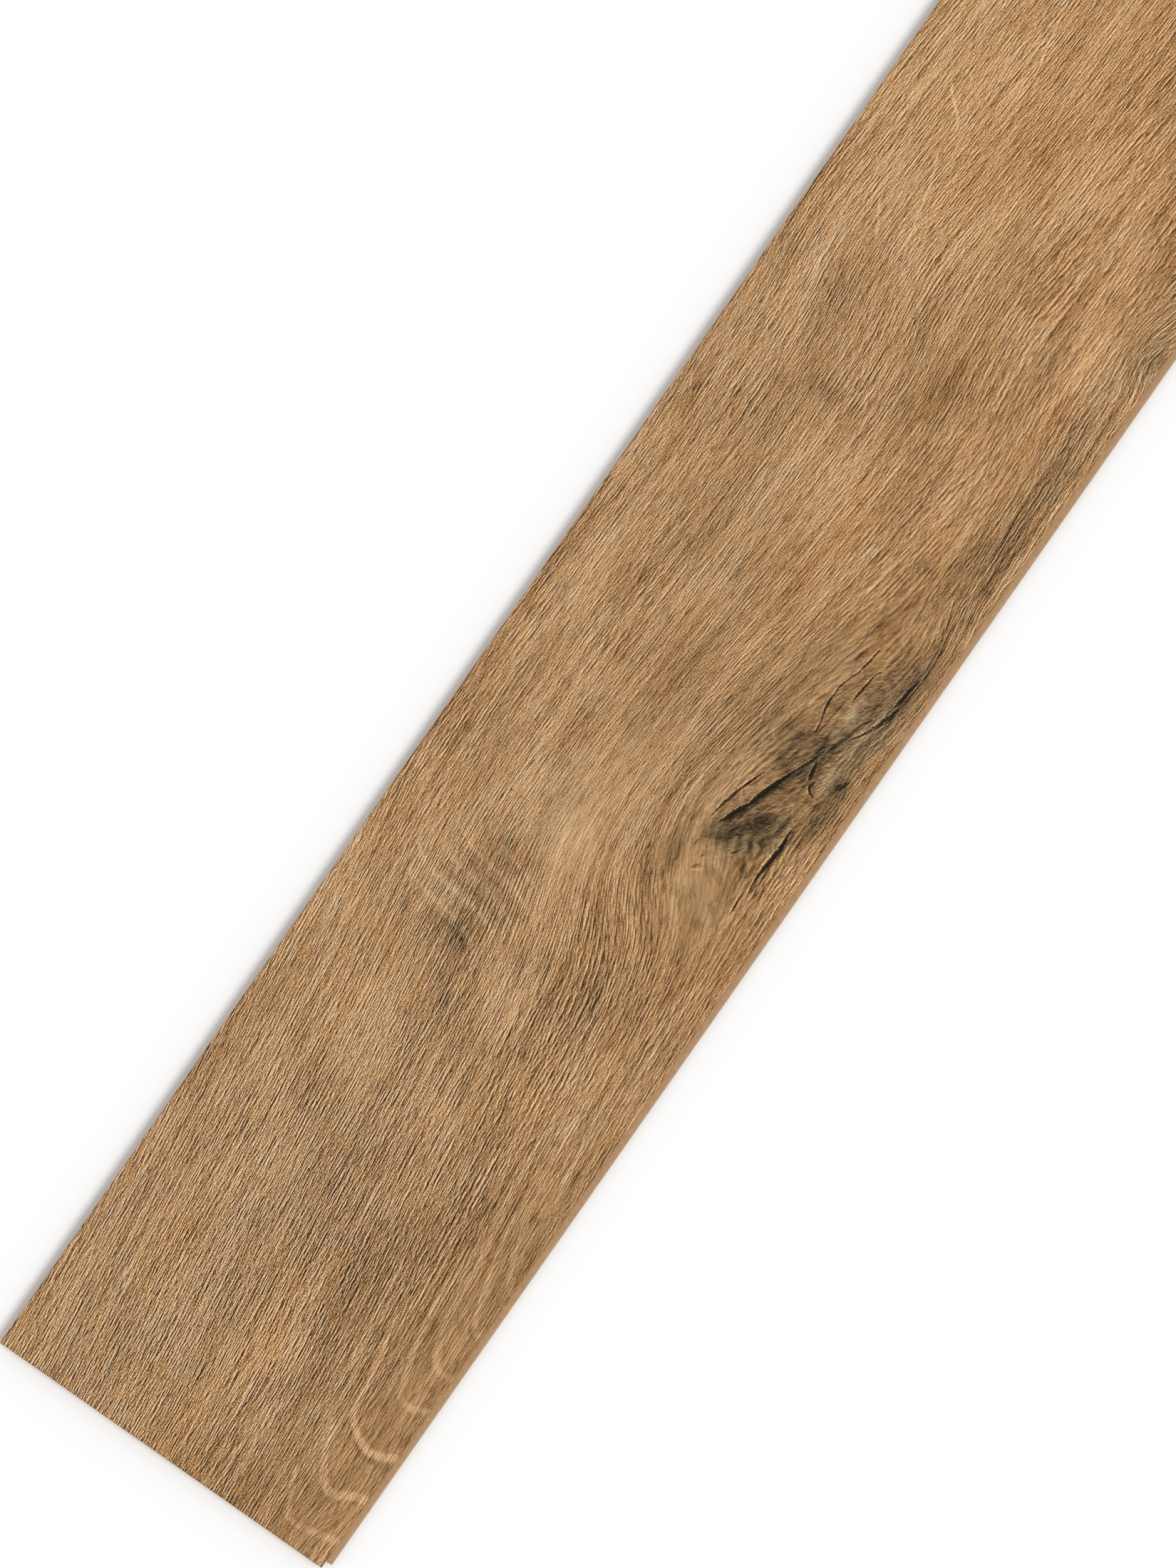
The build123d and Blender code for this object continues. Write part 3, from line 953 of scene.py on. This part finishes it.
def decor_material(groups):
    """The printed and embossed oak face, with painted light and shade on its furrows' sides and a painted
    highlight along its cuts.
    """
    material, tree, shader = new_material("oak_decor")
    grain = attribute(tree, "grain")
    relief = parts_of(tree, grain)[2]
    tone, grey, knot = parts_of(tree, attribute(tree, "patch"))
    place = millimetres(tree)

    frayed = calculate(tree, "SUBTRACT", noise(tree, stretched(tree, place, *FRAYING), 2.0, 0.7), 0.5)
    clouds = centred(tree, noise(tree, stretched(tree, grain, *CLOUDS), 2.0, 0.5), CLOUD_TONE)
    bands = centred(tree, noise(tree, stretched(tree, grain, *BANDS), 3.0, 0.6, 0.2), BAND_TONE)
    blotches = soft_mask(tree, noise(tree, stretched(tree, grain, *BLOTCHES), 3.0, 0.66), *BLOTCH_RANGE)
    speckle = noise(tree, stretched(tree, place, *SPECKLES), 1.0, 0.7)
    hatching = add_up(tree, *[
        centred(tree, noise(tree, stretched(tree, place, *size, turn=turn), 3.0, 0.66), amount)
        for size, turn, amount in HATCHINGS
    ])
    crowds = centred(tree, noise(tree, stretched(tree, grain, *CROWDS), 1.0), CROWD_AMOUNT)
    crowding = add_up(tree, crowds, times(tree, tone, CROWD_BY_TONE))
    lower = furrows(tree, grain, crowding, 0.0)
    # A copy moved across the grain, only for the painted light and shade on the furrows' sides
    upper = furrows(tree, grain, crowding, PAINTED_SHADING_SHIFT)
    long, short, pores = lower

    open_share = calculate(tree, "SUBTRACT", 1.0, times(tree, knot, KNOT_SMOOTHING))
    fine_and_painted_shading = times(tree, fine_grain_and_painted_shading(tree, lower, upper, speckle), relief, open_share)
    brightness = add_up(
        tree, PLAIN_TONE, times(tree, tone, PATCH_GAIN), clouds, bands, times(tree, blotches, BLOTCH_TONE),
        fine_and_painted_shading, times(tree, knot, hatching), marks(tree, groups, frayed))
    hues = noise(tree, stretched(tree, grain, *HUES), 2.0, 0.6)
    dull = add_up(tree, grey, times(tree, blotches, BLOTCH_GREY), centred(tree, hues, HUE_GREY))
    height = add_up(
        tree, centred(tree, long, LONG_HEIGHT), centred(tree, short, SHORT_HEIGHT),
        centred(tree, speckle, SPECKLE_HEIGHT), times(tree, pores, PORE_HEIGHT))
    surface(
        tree, shader, decor_colour(tree, brightness, dull), times(tree, height, relief),
        map_range(tree, short, *DECOR_ROUGHNESS), DECOR_SPECULAR)
    return material


# Fibreboard: noises (steps per millimetre, tone), then its two thin lines' heights and tones
GRIT, LAYERS = (2.2, 70), (0.35, 26)
TOP_LINE, TOP_LINE_TONE = (7.62, 7.70), -46.0
BOTTOM_LINE, BOTTOM_LINE_TONE = (0.20, 0.13), 18.0
CORE_TONE, GRIT_HEIGHT, CORE_ROUGHNESS, CORE_SPECULAR = 136.0, 0.12, 0.85, 0.15


def core_material():
    """Fibreboard with the decor's thin dark line above it and the backing's below."""
    material, tree, shader = new_material("fibreboard_edge")
    place = millimetres(tree)
    height = parts_of(tree, place)[2]
    grit = solid_noise(tree, place, GRIT[0], 2.0)
    layers = solid_noise(tree, place, LAYERS[0], 1.0)
    brightness = add_up(
        tree, CORE_TONE, centred(tree, grit, GRIT[1]), centred(tree, layers, LAYERS[1]),
        times(tree, map_range(tree, height, *TOP_LINE), TOP_LINE_TONE),
        times(tree, map_range(tree, height, *BOTTOM_LINE), BOTTOM_LINE_TONE))
    surface(
        tree, shader, colour_ramp(tree, brightness, CORE_COLOURS), centred(tree, grit, GRIT_HEIGHT),
        CORE_ROUGHNESS, CORE_SPECULAR)
    return material


# Backing paper: noises (steps per millimetre, tone)
PAPER_CLOUDS, FIBRES = (0.03, 26), (1.4, 16)
BACK_TONE, FIBRE_HEIGHT, BACK_ROUGHNESS, BACK_SPECULAR = 172.0, 0.05, 0.55, 0.25


def back_material():
    """Plain balancing paper under the board."""
    material, tree, shader = new_material("backing_paper")
    place = millimetres(tree)
    clouds = solid_noise(tree, place, PAPER_CLOUDS[0], 2.0)
    fibre = solid_noise(tree, place, FIBRES[0], 2.0)
    brightness = add_up(
        tree, BACK_TONE, centred(tree, clouds, PAPER_CLOUDS[1]), centred(tree, fibre, FIBRES[1]))
    surface(
        tree, shader, colour_ramp(tree, brightness, BACK_COLOURS), centred(tree, fibre, FIBRE_HEIGHT),
        BACK_ROUGHNESS, BACK_SPECULAR)
    return material


# The floor's tone for the light that it throws back, since it is white where it is seen
FLOOR_SHADE = 0.75
FLOOR_SIZE, FLOOR_GAP = 60.0, 0.0002

# Light, with 1 for the level at which a colour comes out as written, and the lamp's angles in degrees
SKY_LEVEL, LAMP_LEVEL = 0.62, 0.39
LAMP_ELEVATION, LAMP_SOFTNESS, LAMP_TURN = 64.0, 28.0, 8.0

# Camera: its height above the face and the end of its view in metres, and its sensor in millimetres
CAMERA_DISTANCE, CAMERA_END, SENSOR_WIDTH = 7.0, 100.0, 36.0


def floor_material():
    """A white floor that keeps the plank's soft shadow."""
    material, tree, shader = new_material("studio_floor")
    path = tree.nodes.new("ShaderNodeLightPath")
    seen = calculate(tree, "MAXIMUM", path.outputs["Is Camera Ray"], path.outputs["Is Glossy Ray"])
    seen = calculate(tree, "MAXIMUM", seen, path.outputs["Is Transmission Ray"])
    value = map_range(tree, seen, 0.0, 1.0, FLOOR_SHADE, 1.0)
    colour = tree.nodes.new("ShaderNodeCombineColor")
    for socket in colour.inputs:
        wire(tree, value, socket)
    wire(tree, colour.outputs[0], shader.inputs["Base Color"])
    shader.inputs["Roughness"].default_value = 1.0
    shader.inputs["Specular IOR Level"].default_value = 0.0
    return material


def add_object(name, data):
    """A new object in the scene."""
    item = bpy.data.objects.new(name, data)
    bpy.context.scene.collection.objects.link(item)
    return item


def make_floor():
    """The floor just under the plank."""
    mesh = bpy.data.meshes.new("floor")
    half = FLOOR_SIZE / 2
    corners = [(-half, -half, 0), (half, -half, 0), (half, half, 0), (-half, half, 0)]
    mesh.from_pydata(corners, [], [(0, 1, 2, 3)])
    mesh.materials.append(floor_material())
    floor = add_object("floor", mesh)
    floor.location.z = cad_low.z - FLOOR_GAP


def make_light():
    """Soft light from all round and one wide lamp from the tongue's side, together at a plain level."""
    world = bpy.data.worlds.new("studio")
    world.use_nodes = True
    tree = world.node_tree
    tree.nodes.clear()
    output = tree.nodes.new("ShaderNodeOutputWorld")
    background = tree.nodes.new("ShaderNodeBackground")
    background.inputs["Color"].default_value = (1.0, 1.0, 1.0, 1.0)
    path = tree.nodes.new("ShaderNodeLightPath")
    seen = calculate(tree, "MAXIMUM", path.outputs["Is Camera Ray"], path.outputs["Is Transmission Ray"])
    wire(tree, map_range(tree, seen, 0.0, 1.0, SKY_LEVEL, 1.0), background.inputs["Strength"])
    tree.links.new(background.outputs[0], output.inputs["Surface"])
    bpy.context.scene.world = world
    lamp = bpy.data.lights.new("lamp", "SUN")
    elevation = math.radians(LAMP_ELEVATION)
    lamp.energy = LAMP_LEVEL * math.pi / math.sin(elevation)
    lamp.angle = math.radians(LAMP_SOFTNESS)
    add_object("lamp", lamp).rotation_euler = (math.pi / 2 - elevation, 0.0, math.radians(LAMP_TURN))


def make_camera():
    """A long lens straight above the plank, turned so that the plank runs as in the photograph."""
    slope = math.radians(PLANK_SLOPE_DEGREES)
    pixels_per_metre = math.dist(CORNER_LEFT, CORNER_RIGHT) / (2 * cad_high.y)
    right = (math.cos(slope), -math.sin(slope))
    up = (math.sin(slope), math.cos(slope))
    from_corner = (PHOTO_WIDTH / 2 - CORNER_LEFT[0], CORNER_LEFT[1] - PHOTO_HEIGHT / 2)
    x = cad_low.x + (from_corner[0] * right[0] + from_corner[1] * up[0]) / pixels_per_metre
    y = cad_high.y + (from_corner[0] * right[1] + from_corner[1] * up[1]) / pixels_per_metre
    camera = bpy.data.cameras.new("camera")
    camera.sensor_width = SENSOR_WIDTH
    camera.lens = SENSOR_WIDTH * CAMERA_DISTANCE / (PHOTO_HEIGHT / pixels_per_metre)
    camera.clip_end = CAMERA_END
    item = add_object("camera", camera)
    item.location = (x, y, face_height + CAMERA_DISTANCE)
    item.rotation_euler = (0.0, 0.0, -slope)
    bpy.context.scene.camera = item


def make_plank():
    """The plank, standing for the frame's solid."""
    groups = group_strokes()
    mesh = build_board(groups)
    for material in (decor_material(groups), core_material(), back_material()):
        mesh.materials.append(material)
    plank = add_object("plank_board", mesh)
    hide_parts("plank")
    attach(plank, "root")


bpy.context.scene.view_settings.view_transform = "Standard"
make_camera()
make_light()
make_floor()
make_plank()
